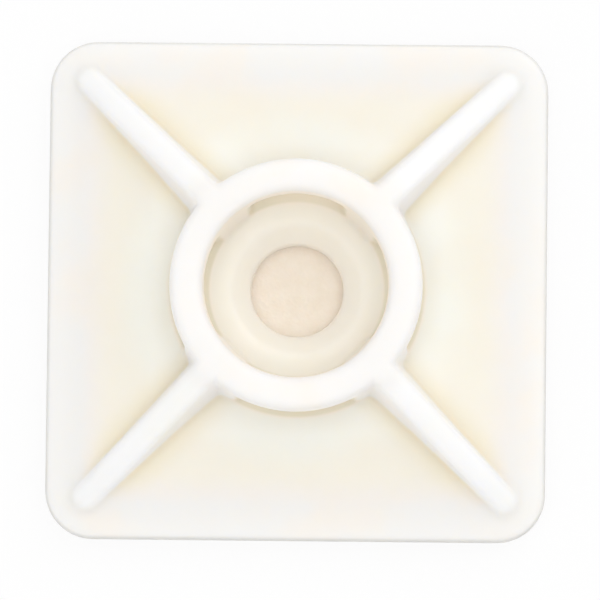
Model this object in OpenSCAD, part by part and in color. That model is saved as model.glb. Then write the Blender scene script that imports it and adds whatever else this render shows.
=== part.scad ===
// Four-way cable tie mount. A square moulded base slopes up to a ring that two
// crossing tie tunnels pass under; four diagonal ribs brace the ring, and a
// funnel inside it leads to a screw hole. A foam pad with adhesive on both
// faces covers the underside, and a thin liner covers the pad.
// Lengths in millimetres. The origin is the middle of the liner's underside
// and +Z points up, away from the surface that the mount sticks to.

/* [Base] */
// Side of the square base
base_side = 28; // [26:0.5:40]
// Radius of the base's corners, seen from above
corner_r = 2.7; // [1.5:0.1:3.5]
// Height of the base at its rim
rim_h = 1.1; // [0.8:0.05:1.6]
// Radius of the round along the rim's top edge
rim_round = 0.3; // [0.1:0.05:0.45]

/* [Ring] */
// Outer diameter of the ring at its top
ring_od = 14; // [13:0.1:15.5]
// Inner diameter of the ring at its top
ring_id = 10.4; // [9.6:0.1:11]
// Thickness of the ring where it bridges a tunnel
bridge_t = 1.6; // [1.2:0.05:2.4]
// Draft of the ring's outer wall, in degrees
outer_draft = 3; // [1:0.5:6]
// Draft of the ring's inner wall, in degrees
inner_draft = 4.5; // [2:0.5:7]
// Radius of the rounds along the ring's top edges
ring_round = 0.4; // [0.15:0.05:0.6]

/* [Tie tunnels] */
// Height of the tunnels' floor above the base's underside
sill_h = 2.25; // [1.9:0.05:3]
// Clear height of a tunnel
tunnel_h = 2.15; // [1.6:0.05:3]
// Width of a tunnel at the ring's inner wall
tunnel_w = 5.2; // [4:0.1:6]
// How far each side of a tunnel spreads by its outer mouth
mouth_flare = 0.7; // [0.2:0.05:1.1]
// Radius of the rounded lips under the bridges
lip_round = 0.35; // [0.15:0.05:0.5]
// Radius of the rounds up the sides of a tunnel's two mouths
jamb_round = 0.5; // [0.2:0.05:0.6]
// Width of the level landing around the ring
landing_w = 0.9; // [0.4:0.1:1.5]

/* [Ribs] */
// Width of a rib's crown
rib_w = 1.5; // [1:0.1:2]
// Radius of the rounds along a crown's two edges
crown_round = 0.35; // [0.1:0.05:0.45]
// How far a crown runs level beyond the ring before it falls
rib_lead = 0.1; // [0:0.05:0.5]
// Draft of a rib's flanks, in degrees
rib_draft = 8; // [2:1:12]
// Distance from a rib's nose to the base's corner
nose_gap = 1.15; // [0.9:0.05:3]
// Height of a rib's crown over the base at its nose
nose_rise = 0.4; // [0.3:0.05:0.7]

/* [Screw well] */
// Diameter of the screw hole
screw_d = 5.2; // [3.2:0.1:6]
// Depth of the straight part of the screw hole
screw_land = 1.3; // [1:0.05:1.5]
// Diameter of the funnel's mouth, at the tunnels' floor
funnel_d = 7.4; // [6.6:0.1:8]
// Radius of the round along the funnel's mouth
funnel_round = 0.5; // [0.1:0.05:0.6]
// Radius of the fillet at the foot of the ring's inner wall
foot_fillet = 0.35; // [0.1:0.05:0.5]

/* [Adhesive pad] */
// Distance from the base's side to the foam pad's side
pad_inset = 1.5; // [0.5:0.1:4]
// Radius of the foam pad's corners
pad_corner_r = 1.5; // [0.5:0.1:3]
// Thickness of the foam pad
pad_t = 1; // [0.5:0.1:2]
// Thickness of the release liner
liner_t = 0.1; // [0.05:0.01:0.2]

/* [Hidden] */
$fn = 96;

// Straight steps in each small rounded edge
arc_steps = 6;
// How far a cutting shape runs past the face that it cuts
cut_over = 1;
// How far above the underside the ribs and the ring start, inside the base
root_z = 0.3;
// How far a rib's crown lies under the ring's flat top where they join
crown_dip = 0.05;

half_side = base_side / 2;
ring_or = ring_od / 2;
ring_ir = ring_id / 2;
roof_h = sill_h + tunnel_h;
ring_h = roof_h + bridge_t;
base_z = liner_t + pad_t;

// Radius of the ring's outer and inner walls at height z
function outer_wall(z) = ring_or + (ring_h - z) * tan(outer_draft);
function inner_wall(z) = ring_ir - (ring_h - z) * tan(inner_draft);

landing_edge = outer_wall(sill_h) + landing_w;
facet_angle = atan((sill_h - rim_h) / (half_side - landing_edge));
// Height of a facet at the distance d from the base's middle
function facet_z(d) = rim_h + (half_side - d) * tan(facet_angle);

// Points along an arc from angle a0 to angle a1
function arc(centre, r, a0, a1) = [
    for (i = [0:arc_steps])
        let (a = a0 + (a1 - a0) * i / arc_steps)
            centre + r * [cos(a), sin(a)]
];

// Points of the rim's rounded edge, for a side that stands at x = side_x
rim_drop = rim_round * (1 - sin(facet_angle)) / cos(facet_angle);
function rim_edge(side_x) =
    arc([side_x - rim_round, rim_h - rim_drop], rim_round, 0, 90 - facet_angle);

function last_of(points) = points[len(points) - 1];

function mirrored(points) = [
    for (i = [len(points) - 1:-1:0]) [-points[i][0], points[i][1]]
];

// Section across the base: level under the ring, sloping down to each side
module base_section() {
    half = concat([[half_side, 0]], rim_edge(half_side), [[landing_edge, sill_h]]);
    polygon(concat(half, mirrored(half)));
}

module base_bar() {
    rotate([90, 0, 0])
        linear_extrude(height = base_side, center = true)
            base_section();
}

// Corner of the base: the same slope and rim, turned about the corner's centre
module base_corner() {
    rotate_extrude(angle = 90)
        polygon(concat(
            [[0, 0], [corner_r, 0]],
            rim_edge(corner_r),
            [[0, facet_z(half_side - corner_r)]]
        ));
}

module base_plate() {
    difference() {
        intersection() {
            base_bar();
            rotate([0, 0, 90]) base_bar();
        }
        for (turn = [0:90:270])
            rotate([0, 0, turn])
                translate([half_side - corner_r, half_side - corner_r, -cut_over])
                    cube([corner_r + cut_over, corner_r + cut_over, rim_h + sill_h + cut_over]);
    }
    for (turn = [0:90:270])
        rotate([0, 0, turn])
            translate([half_side - corner_r, half_side - corner_r, 0])
                base_corner();
}

module ring_blank() {
    top_r = outer_wall(ring_h - ring_round);
    rotate_extrude()
        polygon(concat(
            [[0, root_z], [outer_wall(root_z), root_z]],
            arc([top_r - ring_round, ring_h - ring_round], ring_round, 0, 90),
            [[0, ring_h]]
        ));
}

// The rib's crown runs level out of the ring's top, bends at the ring's outer
// wall and falls straight to its nose, in a corner of the base; its flanks
// widen downwards into the base
corner_reach = (half_side - corner_r) * sqrt(2) + corner_r;
nose_x = corner_reach - nose_gap - rib_w / 2;
nose_z = facet_z(nose_x / sqrt(2)) + nose_rise;
bend_x = ring_or + rib_lead;
bend_z = ring_h - crown_dip;
rib_run = nose_x - bend_x;
rib_slope = atan((bend_z - nose_z) / rib_run);
rib_len = rib_run / cos(rib_slope);
rib_depth = (bend_z - root_z) / cos(rib_slope);
lead_len = bend_x - (ring_or + ring_ir) / 2;

// Half of the section across a rib, from the middle of its crown downwards
function half_rib() =
    let (
        shoulder_x = rib_w / 2 - crown_round,
        edge = arc([shoulder_x, -crown_round], crown_round, 90, rib_draft),
        foot_x = last_of(edge)[0] + (rib_depth + last_of(edge)[1]) * tan(rib_draft)
    )
    concat([[0, 0]], edge, [[foot_x, -rib_depth], [0, -rib_depth]]);

module rib_bar(length) {
    rotate([90, 0, 90])
        linear_extrude(height = length)
            polygon(concat(half_rib(), mirrored(half_rib())));
}

module rib() {
    intersection() {
        union() {
            translate([bend_x - lead_len, 0, bend_z])
                rib_bar(lead_len);
            translate([bend_x, 0, bend_z])
                rotate([0, rib_slope, 0]) {
                    rib_bar(rib_len);
                    translate([rib_len, 0, 0])
                        rotate([0, 0, -90])
                            rotate_extrude(angle = 180)
                                polygon(half_rib());
                }
        }
        translate([0, -half_side, root_z])
            cube([2 * half_side, base_side, ring_h]);
    }
}

// Room for the screw and its head: the hole, the funnel with its rounded mouth,
// a level floor and the ring's inside wall, which rises out of a fillet
module screw_well() {
    slope = atan((sill_h - screw_land) / (funnel_d - screw_d) * 2);
    mouth_x = funnel_d / 2 + funnel_round * tan(slope / 2);
    foot_turn = 90 - inner_draft;
    foot_x = inner_wall(sill_h) - foot_fillet * tan(foot_turn / 2);
    rotate_extrude()
        polygon(concat(
            [[0, -cut_over], [screw_d / 2, -cut_over], [screw_d / 2, screw_land]],
            arc([mouth_x, sill_h - funnel_round], funnel_round, 90 + slope, 90),
            arc([foot_x, sill_h + foot_fillet], foot_fillet, 270, 270 + foot_turn),
            arc([ring_ir + ring_round, ring_h - ring_round], ring_round, 180, 90),
            [[ring_ir + ring_round, ring_h + cut_over], [0, ring_h + cut_over]]
        ));
}

// Height profile of a tunnel: a flat floor, and a roof with a rounded lip at
// each wall of the ring
module tunnel_profile() {
    inner_lip = [inner_wall(roof_h) + lip_round, roof_h + lip_round];
    outer_lip = [outer_wall(roof_h) - lip_round, roof_h + lip_round];
    far_x = landing_edge + cut_over;
    lip_top = roof_h + lip_round;
    polygon(concat(
        [[0, sill_h], [far_x, sill_h], [far_x, lip_top]],
        arc(outer_lip, lip_round, 0, -90),
        arc(inner_lip, lip_round, 270, 180),
        [[0, lip_top]]
    ));
}

// Where a jamb's round has its centre: r away from a side that starts at the
// point start and runs at the angle a, and reach away from the middle
function jamb_centre(start, a, r, reach) =
    let (
        aside = start + r * [-sin(a), cos(a)],
        along = [cos(a), sin(a)],
        back = aside * along
    )
    aside + (sqrt(back * back - aside * aside + reach * reach) - back) * along;

// Half of a tunnel seen from above: parallel sides that spread towards the
// outer mouth, with a round where they meet each wall of the ring
function half_plan() =
    let (
        mid_h = sill_h + tunnel_h / 2,
        wall_in = inner_wall(mid_h),
        wall_out = outer_wall(mid_h),
        bend = [wall_in, tunnel_w / 2],
        spread = atan(mouth_flare / (wall_out - wall_in)),
        c_in = jamb_centre([0, tunnel_w / 2], 0, jamb_round, wall_in + jamb_round),
        c_out = jamb_centre(bend, spread, jamb_round, wall_out - jamb_round),
        inner = arc(c_in, jamb_round, 180 + atan2(c_in[1], c_in[0]), 270),
        outer = arc(c_out, jamb_round, spread - 90, atan2(c_out[1], c_out[0]))
    )
    concat(
        [[0, inner[0][1]]],
        inner,
        [bend],
        outer,
        [[landing_edge, last_of(outer)[1]]]
    );

module tunnel_plan() {
    half = half_plan();
    flipped = [for (i = [len(half) - 1:-1:0]) [half[i][0], -half[i][1]]];
    polygon(concat(half, flipped));
}

// One arm of the two crossing tunnels, from the middle out over the landing
module tunnel_arm() {
    intersection() {
        linear_extrude(height = ring_h)
            tunnel_plan();
        rotate_extrude()
            tunnel_profile();
    }
}

module mount_base() {
    color("ivory")
        translate([0, 0, base_z])
            difference() {
                union() {
                    base_plate();
                    ring_blank();
                    for (turn = [45:90:315])
                        rotate([0, 0, turn]) rib();
                }
                screw_well();
                for (turn = [0:90:270])
                    rotate([0, 0, turn]) tunnel_arm();
            }
}

module rounded_sheet(side, r, thickness) {
    linear_extrude(height = thickness)
        union() {
            square([side - 2 * r, side], center = true);
            square([side, side - 2 * r], center = true);
            for (x = [-1, 1], y = [-1, 1])
                translate([x * (side / 2 - r), y * (side / 2 - r)])
                    circle(r = r);
        }
}

pad_side = base_side - 2 * pad_inset;

module foam_pad() {
    color("wheat")
        translate([0, 0, liner_t])
            rounded_sheet(pad_side, pad_corner_r, pad_t);
}

module release_liner() {
    color("white")
        rounded_sheet(pad_side, pad_corner_r, liner_t);
}

mount_base();
foam_pad();
release_liner();
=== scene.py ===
"""Looks of a four-way cable tie mount: nylon body, foam pad, release liner and stage."""

import math

import bmesh
import bpy
from bpy.props import (
    FloatProperty,
    FloatVectorProperty,
    IntProperty,
    PointerProperty,
)
from mathutils import Matrix, Vector, noise


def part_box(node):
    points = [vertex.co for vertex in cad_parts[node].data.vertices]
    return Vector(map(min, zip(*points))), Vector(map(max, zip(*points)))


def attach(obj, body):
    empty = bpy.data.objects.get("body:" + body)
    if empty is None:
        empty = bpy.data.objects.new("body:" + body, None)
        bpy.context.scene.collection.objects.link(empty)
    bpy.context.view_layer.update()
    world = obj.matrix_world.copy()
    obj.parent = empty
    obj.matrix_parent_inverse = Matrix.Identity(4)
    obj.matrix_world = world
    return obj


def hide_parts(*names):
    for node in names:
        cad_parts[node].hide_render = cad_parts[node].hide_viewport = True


bl_info = {
    "name": "Cable tie mount",
    "version": (1, 0, 0),
    "blender": (4, 5, 0),
    "location": "3D View > Sidebar > Tie mount",
    "description": "Builds the nylon body, the foam pad and the liner of a cable tie mount",
    "category": "Add Mesh",
}

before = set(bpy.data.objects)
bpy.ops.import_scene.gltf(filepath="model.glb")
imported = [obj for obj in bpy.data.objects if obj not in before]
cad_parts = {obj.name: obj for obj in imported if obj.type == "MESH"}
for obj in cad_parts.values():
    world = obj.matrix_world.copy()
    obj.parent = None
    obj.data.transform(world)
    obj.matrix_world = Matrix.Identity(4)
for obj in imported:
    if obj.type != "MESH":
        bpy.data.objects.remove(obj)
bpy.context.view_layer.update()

MM = 0.001
BASE_LOW, BASE_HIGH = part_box("mount_base")
PAD_LOW, PAD_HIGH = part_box("foam_pad")
LINER_LOW, LINER_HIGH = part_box("release_liner")
HALF_SIDE = BASE_HIGH.x
PAD_HALF = PAD_HIGH.x

MERGE_DISTANCE = 0.001 * MM
UNDERSIDE_TRIM = 0.02 * MM
FLOOR_GAP = 0.01 * MM
DIAGONAL = 1.414

# Where the nylon's tones begin and end, in millimetres
PAD_FADE = (2.4, 0.2)  # inwards from the pad's edge
RIB_LIFT = (0.1, 0.5)  # up from the facets
RIB_START = (5.4, 5.8)  # out from the axis, as the next four
# painted light in the well and round the ring
WELL_LIGHT_END = (6.2, 6.8)
LANDING_LIGHT_START = (7.0, 7.4)
LANDING_LIGHT_END = (8.2, 10.6)
# painted shade along the ribs' feet
CREASE_SHADE_START = (7.0, 7.6)
CREASE_SHADE_REACH = (1.0, 2.6)  # to each side of a rib's middle
RING_TOP = (5.2, 5.8)  # up from the base's underside
SHADE_BLUR = 0.1
MOUTH_FLARE = 0.3  # growth of a tunnel's half width for each unit outwards

# How strongly a tone covers the one below it
# painted light in the well
WELL_LIGHT_SHARE = 0.4
# painted shade along the ribs' feet
CREASE_SHADE_SHARE = 0.7
CLOUD_SHARE = 0.3
FLECK_SHARE = 0.2
DEEP_TINT = (0.975, 0.965, 0.93)

FILM_EDGE = (0.03, 0.01)  # inwards from the pad's faces, in millimetres
PIT_STEEPNESS = 2.0
PAPER_SHADE = 0.95
GLOW_SHARE = 0.9

# Azimuth runs from +Y towards +X; angles are in degrees, sizes in metres
LAMP_DISTANCE = 0.5
LAMPS = {
    "key": {"azimuth": 38, "elevation": 48, "size": 0.5},
    "fill": {"azimuth": 218, "elevation": 35, "size": 0.5},
    "top": {"azimuth": 180, "elevation": 85, "size": 0.4},
}


# ---------------------------------------------------------------- settings


class NylonSettings(bpy.types.PropertyGroup):
    """Sizes and colours of the moulded body"""

    cell: FloatProperty(
        name="Mesh cell",
        description="Cell size of the body's fine mesh",
        default=0.13 * MM,
        precision=6,
        unit="LENGTH",
    )
    soften: IntProperty(
        name="Edge softening",
        description="Smoothing passes that round the moulding's edges and corners",
        default=7,
        min=0,
    )
    root_soften: IntProperty(
        name="Root softening",
        description="Further smoothing passes along the feet of the ribs",
        default=10,
        min=0,
    )
    root_reach: FloatProperty(
        name="Root reach",
        description="How far to each side of a rib's middle its feet are smoothed",
        default=2.0 * MM,
        precision=5,
        unit="LENGTH",
    )
    root_height: FloatProperty(
        name="Root height",
        description="How far up a rib its feet are smoothed",
        default=0.8 * MM,
        precision=5,
        unit="LENGTH",
    )
    corner: FloatProperty(
        name="Corner radius",
        description="Radius of the base's corners",
        default=2.7 * MM,
        unit="LENGTH",
    )
    rim_height: FloatProperty(
        name="Rim height",
        description="Height of the base at its sides",
        default=1.1 * MM,
        precision=5,
        unit="LENGTH",
    )
    landing_height: FloatProperty(
        name="Landing height",
        description="Height of the base around the ring",
        default=2.25 * MM,
        precision=5,
        unit="LENGTH",
    )
    facet_slope: FloatProperty(
        name="Facet slope",
        description="How much a facet rises for each unit inwards",
        default=0.195,
    )
    tunnel_half: FloatProperty(
        name="Tunnel half width",
        description="Half the width of a tie tunnel's shade at the inner wall",
        default=2.7 * MM,
        precision=5,
        unit="LENGTH",
    )
    roof_height: FloatProperty(
        name="Roof height",
        description="Height of the tunnels' roof over the base's underside",
        default=4.5 * MM,
        precision=5,
        unit="LENGTH",
    )
    bridge_inner: FloatProperty(
        name="Bridge's inner radius",
        description="Where the shade under a bridge begins, from the middle",
        default=4.9 * MM,
        precision=5,
        unit="LENGTH",
    )
    bridge_outer: FloatProperty(
        name="Bridge's outer radius",
        description="Where the shade under a bridge ends",
        default=7.15 * MM,
        precision=5,
        unit="LENGTH",
    )
    edge_width: FloatProperty(
        name="Edge width",
        # Width of the painted shade along the base's outline
        description="Width of the darker line along the base's outline",
        default=0.24 * MM,
        precision=6,
        unit="LENGTH",
    )
    outline_shade_colour: FloatVectorProperty(
        name="Edge colour",
        # Painted shade along the base's outline, for the shadow under the thin rim
        description="Nylon along the base's outline, where light leaks out of the thin rim",
        subtype="COLOR",
        default=(0.70, 0.692, 0.67),
    )
    rim_colour: FloatVectorProperty(
        name="Rim colour",
        description="Nylon beyond the foam pad, over nothing",
        subtype="COLOR",
        default=(0.885, 0.874, 0.852),
    )
    facet_colour: FloatVectorProperty(
        name="Facet colour",
        description="Thin nylon over the foam pad, which shows through it",
        subtype="COLOR",
        default=(1.0, 0.878, 0.785),
    )
    crease_shade_colour: FloatVectorProperty(
        name="Crease colour",
        # Painted shade along the feet of the ribs, darker and also yellower for the thicker
        # nylon there
        description="Yellower nylon along the feet of the ribs",
        subtype="COLOR",
        default=(0.93, 0.835, 0.66),
    )
    landing_light_colour: FloatVectorProperty(
        name="Landing colour",
        # Painted light on the facets close to the ring and in the well, for light the
        # translucent ring lets through, with the paler tone of the thicker nylon there
        description="Thicker nylon of the facets close to the ring and of the well",
        subtype="COLOR",
        default=(1.0, 0.918, 0.85),
    )
    rib_colour: FloatVectorProperty(
        name="Rib colour",
        description="Thick nylon of the ribs and the ring's outer wall",
        subtype="COLOR",
        default=(0.985, 0.962, 0.935),
    )
    tunnel_shade_colour: FloatVectorProperty(
        name="Tunnel colour",
        # Painted shade inside the tunnels, where little light gets in
        description="Duller nylon inside the tunnels, which the mould leaves unpolished",
        subtype="COLOR",
        default=(0.85, 0.80, 0.67),
    )
    ring_colour: FloatVectorProperty(
        name="Ring colour",
        description="Thickest nylon, along the ring's top",
        subtype="COLOR",
        default=(0.895, 0.883, 0.868),
    )


class FoamSettings(bpy.types.PropertyGroup):
    """Sizes and colours of the foam pad"""

    corner: FloatProperty(
        name="Corner radius",
        description="Radius of the pad's corners",
        default=1.5 * MM,
        unit="LENGTH",
    )
    edge: FloatProperty(
        name="Edge radius",
        description="Radius of the round along the pad's edges",
        default=0.05 * MM,
        precision=6,
        unit="LENGTH",
    )
    spacing: FloatProperty(
        name="Spacing",
        description="Distance between the points along the pad's sides",
        default=0.09 * MM,
        precision=6,
        unit="LENGTH",
    )
    hollow: FloatProperty(
        name="Hollow",
        description="How far the cut sides draw in at half height",
        default=0.05 * MM,
        precision=6,
        unit="LENGTH",
    )
    pit_size: FloatProperty(
        name="Pit size",
        description="Size of the foam's cut cells",
        default=0.3 * MM,
        precision=6,
        unit="LENGTH",
    )
    pit_depth: FloatProperty(
        name="Pit depth",
        description="How far the foam's cut cells dent its sides",
        default=0.08 * MM,
        precision=6,
        unit="LENGTH",
    )
    foam_colour: FloatVectorProperty(
        name="Foam colour",
        description="Tan of the foam",
        subtype="COLOR",
        default=(0.91, 0.86, 0.77),
    )
    pit_shade_colour: FloatVectorProperty(
        name="Pit colour",
        # Painted shade: darker tan in the hollows of the cut cells
        description="Darker tan inside the cells",
        subtype="COLOR",
        default=(0.86, 0.79, 0.67),
    )


class LinerSettings(bpy.types.PropertyGroup):
    """Sizes and colours of the release liner"""

    corner: FloatProperty(
        name="Corner radius",
        description="Radius of the liner's corners",
        default=1.5 * MM,
        unit="LENGTH",
    )
    edge: FloatProperty(
        name="Edge radius",
        description="Radius of the round along the liner's cut edges",
        default=0.025 * MM,
        precision=6,
        unit="LENGTH",
    )
    spacing: FloatProperty(
        name="Spacing",
        description="Distance between the points along the liner's sides",
        default=0.2 * MM,
        precision=6,
        unit="LENGTH",
    )
    paper_colour: FloatVectorProperty(
        name="Paper colour",
        description="Coated white paper",
        subtype="COLOR",
        default=(0.86, 0.86, 0.83),
    )


class StageSettings(bpy.types.PropertyGroup):
    """Camera, lamps and floor"""

    lean_front: FloatProperty(
        name="Lean to the front",
        description="How far the camera leans from straight above towards the mount's front",
        default=math.radians(5.0),
        subtype="ANGLE",
    )
    lean_right: FloatProperty(
        name="Lean to the right",
        description="How far the camera leans from straight above towards the mount's right",
        default=math.radians(1.0),
        subtype="ANGLE",
    )
    roll: FloatProperty(
        name="Roll",
        description="Camera's turn about its own view",
        default=math.radians(0.55),
        subtype="ANGLE",
    )
    distance: FloatProperty(
        name="Distance",
        description="From the camera to the mount",
        default=0.45,
        unit="LENGTH",
    )
    view_width: FloatProperty(
        name="View width",
        description="Width that the camera takes in at the mount",
        default=33.63 * MM,
        unit="LENGTH",
    )
    aim: FloatVectorProperty(
        name="Aim",
        description="Point that the camera looks at",
        subtype="TRANSLATION",
        unit="LENGTH",
        default=(0.17 * MM, -0.50 * MM, 2.2 * MM),
    )
    floor_size: FloatProperty(
        name="Floor size",
        description="Side of the square floor",
        default=2.0,
        unit="LENGTH",
    )
    floor_colour: FloatVectorProperty(
        name="Floor colour",
        description="Pale floor",
        subtype="COLOR",
        default=(0.93, 0.93, 0.93),
    )
    sky_level: FloatProperty(
        name="Sky level",
        description="Strength of the even light from all round",
        default=0.67,
    )
    key_level: FloatProperty(
        name="Key level",
        description="What the key lamp adds to a level white face",
        default=0.2,
    )
    fill_level: FloatProperty(
        name="Fill level",
        description="What the fill lamp adds to a level white face",
        default=0.05,
        min=0.0,
    )
    top_level: FloatProperty(
        name="Top level",
        description="What the lamp overhead adds to a level white face",
        default=0.22,
    )


# ---------------------------------------------------------------- shader tools


class Value:
    """A node's output socket, so that sums of sockets can be written as sums"""

    def __init__(self, tree, socket):
        self.tree = tree
        self.socket = socket

    def _math(self, operation, first, second=0.0):
        return self.tree.node(
            "ShaderNodeMath", {"operation": operation}, {0: first, 1: second}
        )

    def __add__(self, other):
        return self._math("ADD", self, other)

    def __radd__(self, other):
        return self._math("ADD", other, self)

    def __sub__(self, other):
        return self._math("SUBTRACT", self, other)

    def __rsub__(self, other):
        return self._math("SUBTRACT", other, self)

    def __mul__(self, other):
        return self._math("MULTIPLY", self, other)

    def __rmul__(self, other):
        return self._math("MULTIPLY", other, self)

    def __pow__(self, other):
        return self._math("POWER", self, other)

    def __abs__(self):
        return self._math("ABSOLUTE", self)

    def larger(self, other):
        return self._math("MAXIMUM", self, other)

    def smaller(self, other):
        return self._math("MINIMUM", self, other)


class Finish:
    """A material under construction: its node tree, its surface shader and its patterns"""

    def __init__(self, name):
        self.material = bpy.data.materials.new(name)
        self.material.use_nodes = True
        self.nodes = self.material.node_tree.nodes
        self.links = self.material.node_tree.links
        self.nodes.clear()

    def node(self, kind, settings=None, inputs=None, output=0):
        """Adds a node: its settings first, then its sockets' values or links"""
        made = self.nodes.new(kind)
        for key, value in (settings or {}).items():
            setattr(made, key, value)
        for key, value in (inputs or {}).items():
            if isinstance(value, Value):
                self.links.new(value.socket, made.inputs[key])
            else:
                made.inputs[key].default_value = value
        return Value(self, made.outputs[output]) if made.outputs else None

    def millimetres(self):
        """Place on the piece, in millimetres"""
        place = self.node("ShaderNodeTexCoord", output="Object")
        return self.node(
            "ShaderNodeVectorMath",
            {"operation": "SCALE"},
            {0: place, "Scale": 1.0 / MM},
        )

    def axes(self, place):
        made = self.node("ShaderNodeSeparateXYZ", inputs={0: place})
        outputs = made.socket.node.outputs
        return [Value(self, outputs[i]) for i in range(3)]

    def grain(self, place, scale, detail=3.0, roughness=0.5):
        """Noise from 0 to 1 with that many lumps to the millimetre"""
        return self.node(
            "ShaderNodeTexNoise",
            {"noise_dimensions": "3D"},
            {"Vector": place, "Scale": scale, "Detail": detail, "Roughness": roughness},
        )

    def cells(self, place, scale):
        """Distance from the nearest cell's middle, with that many cells to the millimetre"""
        return self.node(
            "ShaderNodeTexVoronoi", {"feature": "F1"}, {"Vector": place, "Scale": scale}
        )

    def ease(self, value, start, end):
        """Smooth step from 0 at start to 1 at end"""
        return self.node(
            "ShaderNodeMapRange",
            {"interpolation_type": "SMOOTHSTEP"},
            {"Value": value, "From Min": start, "From Max": end},
        )

    def blend(self, factor, first, second):
        """Colour that goes from first to second as the factor goes from 0 to 1"""
        made = self.node("ShaderNodeMix", {"data_type": "RGBA"}, {0: factor})
        node = made.socket.node
        for socket, value in ((node.inputs[6], first), (node.inputs[7], second)):
            if isinstance(value, Value):
                self.links.new(value.socket, socket)
            else:
                socket.default_value = (*value, 1.0)
        return Value(self, node.outputs[2])

    def bump(self, height, strength, distance):
        return self.node(
            "ShaderNodeBump",
            inputs={"Height": height, "Strength": strength, "Distance": distance},
        )

    def surface(self, **inputs):
        """Ends the material in a Principled shader with these sockets"""
        named = {key.replace("_", " "): value for key, value in inputs.items()}
        shader = self.node("ShaderNodeBsdfPrincipled", inputs=named)
        self.node("ShaderNodeOutputMaterial", inputs={"Surface": shader})
        return self.material


# ---------------------------------------------------------------- finishes


def rounded_inset(x, y, corner):
    """Distance inwards from the base's rounded outline, in millimetres"""
    reach = HALF_SIDE / MM - corner
    past_x = (abs(x) - reach).larger(0.0)
    past_y = (abs(y) - reach).larger(0.0)
    return corner - (past_x * past_x + past_y * past_y) ** 0.5


def tunnel_shade(finish, settings, aside, from_axis, height):
    """1 inside the tie tunnels and 0 outside them, with a soft border"""

    def below(value, limit):
        return 1.0 - finish.ease(value, limit - SHADE_BLUR, limit + SHADE_BLUR)

    inner, outer = settings.bridge_inner / MM, settings.bridge_outer / MM
    half = settings.tunnel_half / MM + (from_axis - inner) * MOUTH_FLARE
    beyond = finish.ease(from_axis, inner - SHADE_BLUR, inner + SHADE_BLUR)
    under = beyond * below(from_axis, outer) * below(height, settings.roof_height / MM)
    return under * below(aside, half)


def natural_nylon(settings):
    """Translucent ivory nylon: whiter where it is thick, creamier over the pad, with painted
    shade in the tunnels, along the ribs' feet and along the outline, and painted light round
    the ring and in the well
    """
    finish = Finish("natural_nylon")
    place = finish.millimetres()
    x, y, z = finish.axes(place)
    from_middle = abs(x).larger(abs(y))
    from_axis = (x * x + y * y) ** 0.5
    from_rib = abs(abs(x) - abs(y)) * math.sqrt(0.5)
    height = z - BASE_LOW.z / MM
    slope = (HALF_SIDE / MM - from_middle) * settings.facet_slope
    facet = (settings.rim_height / MM + slope).smaller(settings.landing_height / MM)

    beyond_pad = finish.ease(from_middle, *(PAD_HALF / MM - fade for fade in PAD_FADE))
    # painted light round the ring and in the well, where the ring's shade falls, with the paler
    # tone of thicker nylon
    landing_light = finish.ease(from_axis, *LANDING_LIGHT_START)
    landing_light = landing_light * (1.0 - finish.ease(from_axis, *LANDING_LIGHT_END))
    landing_light = landing_light + WELL_LIGHT_SHARE * (1.0 - finish.ease(from_axis, *WELL_LIGHT_END))
    # painted shade in the creases along the ribs' feet, also yellower for the thicker nylon
    # there
    crease_shade = 1.0 - finish.ease(from_rib, *CREASE_SHADE_REACH)
    crease_shade = crease_shade * finish.ease(from_axis, *CREASE_SHADE_START) * (1.0 - beyond_pad)
    rib = finish.ease(height - facet, *RIB_LIFT) * finish.ease(from_axis, *RIB_START)
    top = finish.ease(height, *RING_TOP)
    # painted shade inside the tie tunnels, under the bridges
    under = tunnel_shade(finish, settings, abs(x).smaller(abs(y)), from_axis, height)
    inset = rounded_inset(x, y, settings.corner / MM)
    # painted shade along the base's outline, for the shadow under the thin rim
    inside = finish.ease(inset, 0.0, settings.edge_width / MM)

    clouds = finish.grain(place, 0.22, detail=2.0)
    flecks = finish.grain(place, 1.4, detail=4.0, roughness=0.6)
    deep = [c * tint for c, tint in zip(settings.facet_colour, DEEP_TINT)]
    colour = finish.blend(beyond_pad, settings.facet_colour, settings.rim_colour)
    # the landing tone is painted light, the crease and tunnel tones are painted shade
    for factor, tone in (
        (landing_light, settings.landing_light_colour),
        (crease_shade * CREASE_SHADE_SHARE, settings.crease_shade_colour),
        (rib, settings.rib_colour),
        (top, settings.ring_colour),
        (under, settings.tunnel_shade_colour),
        (finish.ease(clouds, 0.45, 0.75) * CLOUD_SHARE, deep),
        (finish.ease(flecks, 0.62, 0.85) * FLECK_SHARE, deep),
    ):
        colour = finish.blend(factor, colour, tone)
    colour = finish.blend(inside, settings.outline_shade_colour, colour)

    skin = finish.grain(place, 9.0, detail=3.0, roughness=0.55)
    waves = finish.grain(place, 0.5, detail=1.0)
    relief = skin * 0.35 + waves
    return finish.surface(
        Base_Color=colour,
        Roughness=0.36 + 0.16 * flecks,
        IOR=1.53,
        Subsurface_Weight=1.0,
        Subsurface_Radius=(1.0, 0.95, 0.85),
        Subsurface_Scale=1.3 * MM,
        Specular_IOR_Level=0.4,
        Normal=finish.bump(relief, 0.25, 0.02 * MM),
    )


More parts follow.
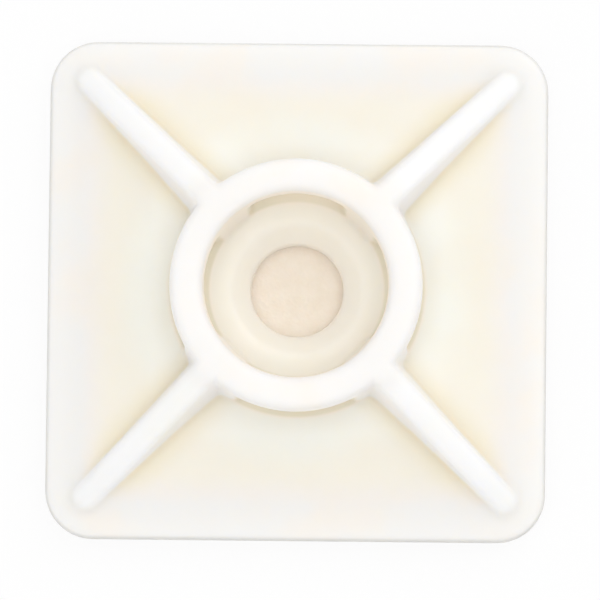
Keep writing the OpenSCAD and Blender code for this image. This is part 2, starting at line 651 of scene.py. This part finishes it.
def tan_foam(settings):
    """Closed-cell foam under a thin film of adhesive"""
    finish = Finish("tan_foam")
    place = finish.millimetres()
    cells = finish.cells(place, 5.0)
    clouds = finish.grain(place, 1.1, detail=4.0, roughness=0.6)
    walls = finish.ease(cells, 0.15, 0.6)
    # painted shade in the hollows of the cut cells
    cut = finish.blend(walls, settings.pit_shade_colour, settings.foam_colour)
    mixed = [(a + b) / 2 for a, b in zip(settings.pit_shade_colour, settings.foam_colour)]
    film = finish.blend(finish.ease(clouds, 0.3, 0.7), mixed, settings.foam_colour)
    _, _, z = finish.axes(place)
    middle = (PAD_LOW.z + PAD_HIGH.z) / 2 / MM
    half_thick = (PAD_HIGH.z - PAD_LOW.z) / 2 / MM
    filmed = finish.ease(abs(z - middle), *(half_thick - edge for edge in FILM_EDGE))
    colour = finish.blend(filmed, cut, film)
    return finish.surface(
        Base_Color=colour,
        Roughness=0.62 + 0.25 * clouds,
        Subsurface_Weight=0.15,
        Subsurface_Radius=(0.8, 0.6, 0.4),
        Subsurface_Scale=0.5 * MM,
        Normal=finish.bump(cells + 0.5 * clouds, 0.5, 0.06 * MM),
    )


def coated_paper(settings):
    """Release paper: faint fibres under a silicone coat"""
    finish = Finish("coated_paper")
    place = finish.millimetres()
    fibres = finish.grain(place, 2.5, detail=5.0, roughness=0.65)
    clouds = finish.grain(place, 0.3, detail=2.0)
    shade = [c * PAPER_SHADE for c in settings.paper_colour]
    colour = finish.blend(finish.ease(fibres, 0.4, 0.75), settings.paper_colour, shade)
    return finish.surface(
        Base_Color=colour,
        Roughness=0.38 + 0.2 * clouds,
        Normal=finish.bump(fibres, 0.3, 0.02 * MM),
    )


def pale_floor(settings):
    """Floor that looks white to the camera and still takes the mount's shadow"""
    finish = Finish("pale_floor")
    lit = finish.node(
        "ShaderNodeBsdfDiffuse", inputs={"Color": (*settings.floor_colour, 1.0)}
    )
    glow = finish.node("ShaderNodeEmission", inputs={"Strength": 1.0})
    ray = finish.node("ShaderNodeLightPath", output="Is Camera Ray")
    glossy = Value(finish, ray.socket.node.outputs["Is Glossy Ray"])
    through = Value(finish, ray.socket.node.outputs["Is Transmission Ray"])
    seen = ray.larger(glossy).larger(through)
    mixed = finish.node(
        "ShaderNodeMixShader", inputs={0: seen * GLOW_SHARE, 1: lit, 2: glow}
    )
    finish.node("ShaderNodeOutputMaterial", inputs={"Surface": mixed})
    return finish.material


# ---------------------------------------------------------------- mesh tools


def finished_piece(name, mesh, material, slot, *nodes):
    """Links a mesh as a piece of the body that stands for the named solids"""
    piece = bpy.data.objects.new(name, mesh)
    bpy.context.scene.collection.objects.link(piece)
    mesh.materials.clear()
    mesh.materials.append(material)
    mesh.shade_smooth()
    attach(piece, "root")
    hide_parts(*nodes)
    return piece


def mesh_from(bm, name):
    bmesh.ops.recalc_face_normals(bm, faces=bm.faces)
    mesh = bpy.data.meshes.new(name)
    bm.to_mesh(mesh)
    bm.free()
    return mesh


def fine_mesh(source, cell):
    """The solid's own shape in even cells, ready to be smoothed"""
    bm = bmesh.new()
    bm.from_mesh(source.data)
    bmesh.ops.remove_doubles(bm, verts=bm.verts, dist=MERGE_DISTANCE)
    coarse = bpy.data.meshes.new("coarse")
    bm.to_mesh(coarse)
    bm.free()
    holder = bpy.data.objects.new("holder", coarse)
    bpy.context.scene.collection.objects.link(holder)
    remesh = holder.modifiers.new("cells", "REMESH")
    remesh.mode = "VOXEL"
    remesh.voxel_size = cell
    remesh.adaptivity = 0.0
    graph = bpy.context.evaluated_depsgraph_get()
    bm = bmesh.new()
    bm.from_object(holder, graph)
    bpy.data.objects.remove(holder)
    bpy.data.meshes.remove(coarse)
    return bm


def soften(bm, verts, passes):
    """Draws the points towards their neighbours, that many times"""
    for _ in range(passes):
        bmesh.ops.smooth_vert(
            bm,
            verts=verts,
            factor=0.5,
            use_axis_x=True,
            use_axis_y=True,
            use_axis_z=True,
        )


def rib_roots(bm, settings):
    """The points along both feet of each rib, outside the ring"""
    found = []
    for vert in bm.verts:
        x, y = abs(vert.co.x), abs(vert.co.y)
        if math.hypot(x, y) < settings.bridge_outer:
            continue
        if abs(x - y) > settings.root_reach * DIAGONAL:
            continue
        rise = (HALF_SIDE - max(x, y)) * settings.facet_slope
        facet = min(settings.rim_height + rise, settings.landing_height)
        if -settings.cell < vert.co.z - BASE_LOW.z - facet < settings.root_height:
            found.append(vert)
    return found


def close_underside(bm, level):
    """Cuts the mesh flat at that height and closes it with triangles round the hole"""
    cut = bmesh.ops.bisect_plane(
        bm,
        geom=bm.verts[:] + bm.edges[:] + bm.faces[:],
        plane_co=(0, 0, level),
        plane_no=(0, 0, 1),
        clear_inner=True,
    )
    rim = [e for e in cut["geom_cut"] if isinstance(e, bmesh.types.BMEdge)]
    bmesh.ops.triangle_fill(bm, edges=rim, use_beauty=True, normal=(0, 0, -1))


def rounded_slab(half, corner, low, high, edge, spacing):
    """Flat slab with rounded corners and softened edges, its sides cut into an even grid"""
    bm = bmesh.new()
    bmesh.ops.create_grid(
        bm, x_segments=1, y_segments=1, size=half, matrix=Matrix.Translation((0, 0, low))
    )
    bmesh.ops.bevel(
        bm,
        geom=bm.verts[:],
        offset=corner,
        offset_type="OFFSET",
        affect="VERTICES",
        segments=max(8, round(corner * math.pi / 2 / spacing)),
        profile=0.5,
        material=-1,
    )
    sides = [e for e in bm.edges if e.calc_length() > half]
    cuts = round(sides[0].calc_length() / spacing) - 1
    bmesh.ops.subdivide_edges(bm, edges=sides, cuts=cuts)
    raised = bmesh.ops.extrude_face_region(bm, geom=bm.faces[:])
    top = [v for v in raised["geom"] if isinstance(v, bmesh.types.BMVert)]
    bmesh.ops.translate(bm, verts=top, vec=(0, 0, high - low))

    middle = (low + high) / 2
    uprights = [e for e in bm.edges if (e.verts[0].co.z < middle) != (e.verts[1].co.z < middle)]
    rims = [e for e in bm.edges if e not in set(uprights)]
    rows = round((high - low) / spacing)
    if rows > 1:
        bmesh.ops.subdivide_edges(bm, edges=uprights, cuts=rows - 1, use_grid_fill=True)
    bmesh.ops.bevel(
        bm,
        geom=rims,
        offset=edge,
        offset_type="OFFSET",
        affect="EDGES",
        segments=2,
        profile=0.5,
        material=-1,
    )
    flats = [f for f in bm.faces if len(f.verts) > 4]
    bmesh.ops.inset_individual(bm, faces=flats, thickness=edge)
    return bm


def outward(place, half, corner):
    """Direction out of a rounded square at a place near its side"""
    reach = half - corner
    past = [math.copysign(max(abs(c) - reach, 0.0), c) for c in (place.x, place.y)]
    return Vector((*past, 0.0)).normalized()


# ---------------------------------------------------------------- operators


class BuildBody(bpy.types.Operator):
    """Makes the moulded nylon body with its softened edges"""

    bl_idname = "tie_mount.body"
    bl_label = "Nylon body"

    def execute(self, context):
        settings = context.scene.tie_mount_nylon
        bm = fine_mesh(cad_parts["mount_base"], settings.cell)
        soften(bm, bm.verts[:], settings.soften)
        soften(bm, rib_roots(bm, settings), settings.root_soften)
        close_underside(bm, BASE_LOW.z + UNDERSIDE_TRIM)
        mesh = mesh_from(bm, "nylon_body")
        finished_piece("nylon_body", mesh, natural_nylon(settings), "nylon", "mount_base")
        return {"FINISHED"}


class BuildFoam(bpy.types.Operator):
    """Makes the foam pad with its cut cells along the sides"""

    bl_idname = "tie_mount.foam"
    bl_label = "Foam pad"

    def execute(self, context):
        settings = context.scene.tie_mount_foam
        low, high = PAD_LOW.z, PAD_HIGH.z
        bm = rounded_slab(
            PAD_HALF, settings.corner, low, high, settings.edge, settings.spacing
        )
        middle, half_thick = (low + high) / 2, (high - low) / 2
        for vert in bm.verts:
            level = abs(vert.co.z - middle) / half_thick
            if level > 1 - 2 * settings.edge / half_thick:
                continue
            nearest = noise.voronoi(vert.co / settings.pit_size)[0][0]
            pit = max(0.0, 1.0 - PIT_STEEPNESS * nearest)
            depth = settings.hollow * (1 - level**2) + settings.pit_depth * pit
            vert.co -= outward(vert.co, PAD_HALF, settings.corner) * depth
        mesh = mesh_from(bm, "foam_cushion")
        piece = finished_piece("foam_cushion", mesh, tan_foam(settings), "foam", "foam_pad")
        return {"FINISHED"}


class BuildLiner(bpy.types.Operator):
    """Makes the thin release liner"""

    bl_idname = "tie_mount.liner"
    bl_label = "Release liner"

    def execute(self, context):
        settings = context.scene.tie_mount_liner
        bm = rounded_slab(
            LINER_HIGH.x,
            settings.corner,
            LINER_LOW.z,
            LINER_HIGH.z,
            settings.edge,
            settings.spacing,
        )
        mesh = mesh_from(bm, "paper_liner")
        finished_piece("paper_liner", mesh, coated_paper(settings), "liner", "release_liner")
        return {"FINISHED"}


class BuildStage(bpy.types.Operator):
    """Makes the camera, the lamps and the floor"""

    bl_idname = "tie_mount.stage"
    bl_label = "Stage"

    def execute(self, context):
        settings = context.scene.tie_mount_stage
        self.camera(context.scene, settings)
        self.floor(context.scene, settings)
        self.sky(context.scene, settings)
        for name, place in LAMPS.items():
            self.lamp(context.scene, name, getattr(settings, f"{name}_level"), **place)
        context.scene.view_settings.view_transform = "Standard"
        return {"FINISHED"}

    @staticmethod
    def camera(scene, settings):
        data = bpy.data.cameras.new("camera")
        data.sensor_width = 36.0
        data.lens = data.sensor_width * settings.distance / settings.view_width
        data.clip_start = 0.01
        data.clip_end = 10.0
        camera = bpy.data.objects.new("camera", data)
        scene.collection.objects.link(camera)
        lean = (math.tan(settings.lean_right), -math.tan(settings.lean_front), 1.0)
        back = Vector(lean).normalized()
        right = Vector((1.0, 0.0, 0.0))
        right = (right - right.dot(back) * back).normalized()
        level = Matrix((right, back.cross(right), back)).transposed()
        turn = level @ Matrix.Rotation(settings.roll, 3, "Z")
        place = Vector(settings.aim) + back * settings.distance
        camera.matrix_world = Matrix.Translation(place) @ turn.to_4x4()
        scene.camera = camera

    @staticmethod
    def floor(scene, settings):
        bm = bmesh.new()
        bmesh.ops.create_grid(
            bm,
            x_segments=1,
            y_segments=1,
            size=settings.floor_size / 2,
            matrix=Matrix.Translation((0, 0, LINER_LOW.z - FLOOR_GAP)),
        )
        floor = bpy.data.objects.new("floor", mesh_from(bm, "floor"))
        scene.collection.objects.link(floor)
        floor.data.materials.append(pale_floor(settings))

    @staticmethod
    def sky(scene, settings):
        world = bpy.data.worlds.new("sky")
        scene.world = world
        world.use_nodes = True
        tree = world.node_tree
        background = tree.nodes["Background"]
        background.inputs["Color"].default_value = (1.0, 1.0, 1.0, 1.0)
        path = tree.nodes.new("ShaderNodeLightPath")
        level = tree.nodes.new("ShaderNodeMapRange")
        level.inputs["To Min"].default_value = settings.sky_level
        level.inputs["To Max"].default_value = 1.0
        tree.links.new(path.outputs["Is Camera Ray"], level.inputs["Value"])
        tree.links.new(level.outputs[0], background.inputs["Strength"])

    @staticmethod
    def lamp(scene, name, level, azimuth, elevation, size):
        """Soft square lamp that lights a level white face by that level"""
        rise, side = math.radians(elevation), math.radians(azimuth)
        toward = Vector(
            (
                math.sin(side) * math.cos(rise),
                math.cos(side) * math.cos(rise),
                math.sin(rise),
            )
        )
        data = bpy.data.lights.new(name, "AREA")
        data.shape = "SQUARE"
        data.size = size
        data.energy = level * math.pi**2 * LAMP_DISTANCE**2 / math.sin(rise)
        lamp = bpy.data.objects.new(name, data)
        scene.collection.objects.link(lamp)
        lamp.visible_camera = False
        turn = toward.to_track_quat("Z", "Y").to_matrix().to_4x4()
        lamp.matrix_world = Matrix.Translation(toward * LAMP_DISTANCE) @ turn


class TieMountPanel(bpy.types.Panel):
    """Lists the pieces of the mount and its stage"""

    bl_idname = "VIEW3D_PT_tie_mount"
    bl_label = "Tie mount"
    bl_space_type = "VIEW_3D"
    bl_region_type = "UI"
    bl_category = "Tie mount"

    def draw(self, context):
        for operator in OPERATORS:
            self.layout.operator(operator.bl_idname)


SETTINGS = {
    "tie_mount_nylon": NylonSettings,
    "tie_mount_foam": FoamSettings,
    "tie_mount_liner": LinerSettings,
    "tie_mount_stage": StageSettings,
}
OPERATORS = (BuildStage, BuildBody, BuildFoam, BuildLiner)
CLASSES = (*SETTINGS.values(), *OPERATORS, TieMountPanel)


def register():
    for cls in CLASSES:
        bpy.utils.register_class(cls)
    for name, group in SETTINGS.items():
        setattr(bpy.types.Scene, name, PointerProperty(type=group))


def unregister():
    for name in SETTINGS:
        delattr(bpy.types.Scene, name)
    for cls in reversed(CLASSES):
        bpy.utils.unregister_class(cls)


def main():
    register()
    bpy.ops.tie_mount.stage()
    bpy.ops.tie_mount.body()
    bpy.ops.tie_mount.foam()
    bpy.ops.tie_mount.liner()


if __name__ == "__main__":
    main()
